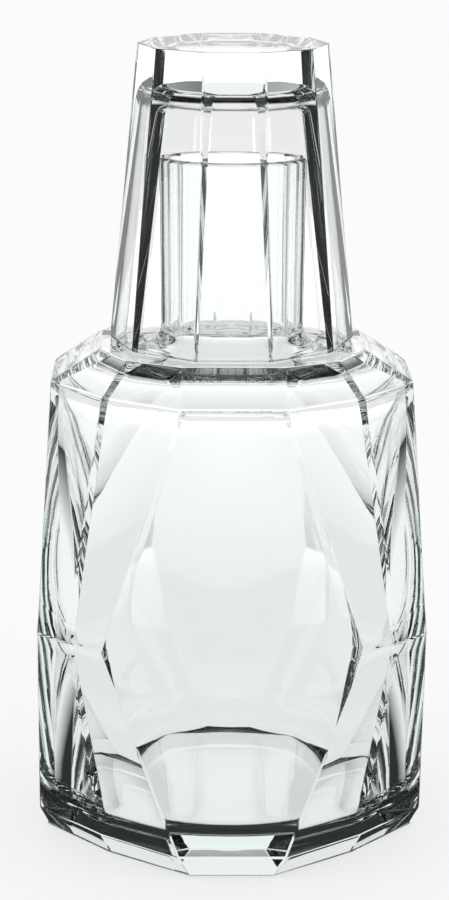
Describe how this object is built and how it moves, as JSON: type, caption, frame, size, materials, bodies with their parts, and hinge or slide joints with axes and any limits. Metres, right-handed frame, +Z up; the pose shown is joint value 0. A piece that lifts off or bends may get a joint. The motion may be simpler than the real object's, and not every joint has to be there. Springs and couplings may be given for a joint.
{
  "type": "bedside carafe with tumbler",
  "caption": "Faceted clear-glass bedside water carafe with a short straight neck, and a faceted tumbler turned over the neck that stands on the carafe's ledge as its cover.",
  "frame": {"origin": "middle of the carafe's base, on the plane that it stands on", "axes": "+Z up along the common axis of carafe and tumbler, a broad facet of the body faces the front, -Y"},
  "size_m": [0.1028, 0.1028, 0.211],
  "materials": {
    "carafe_glass": "clear crystal, pressed with fire-polished edges",
    "tumbler_glass": "clear crystal, pressed with fire-polished edges"
  },
  "bodies": {
    "carafe": {"carafe": "carafe_glass"},
    "tumbler": {"tumbler": "tumbler_glass"}
  },
  "joints": [
    {"name": "tumbler_lift", "type": "slide", "parent": "carafe", "child": "tumbler", "axis": [0, 0, 1], "range_m": [0, 0.08]}
  ]
}
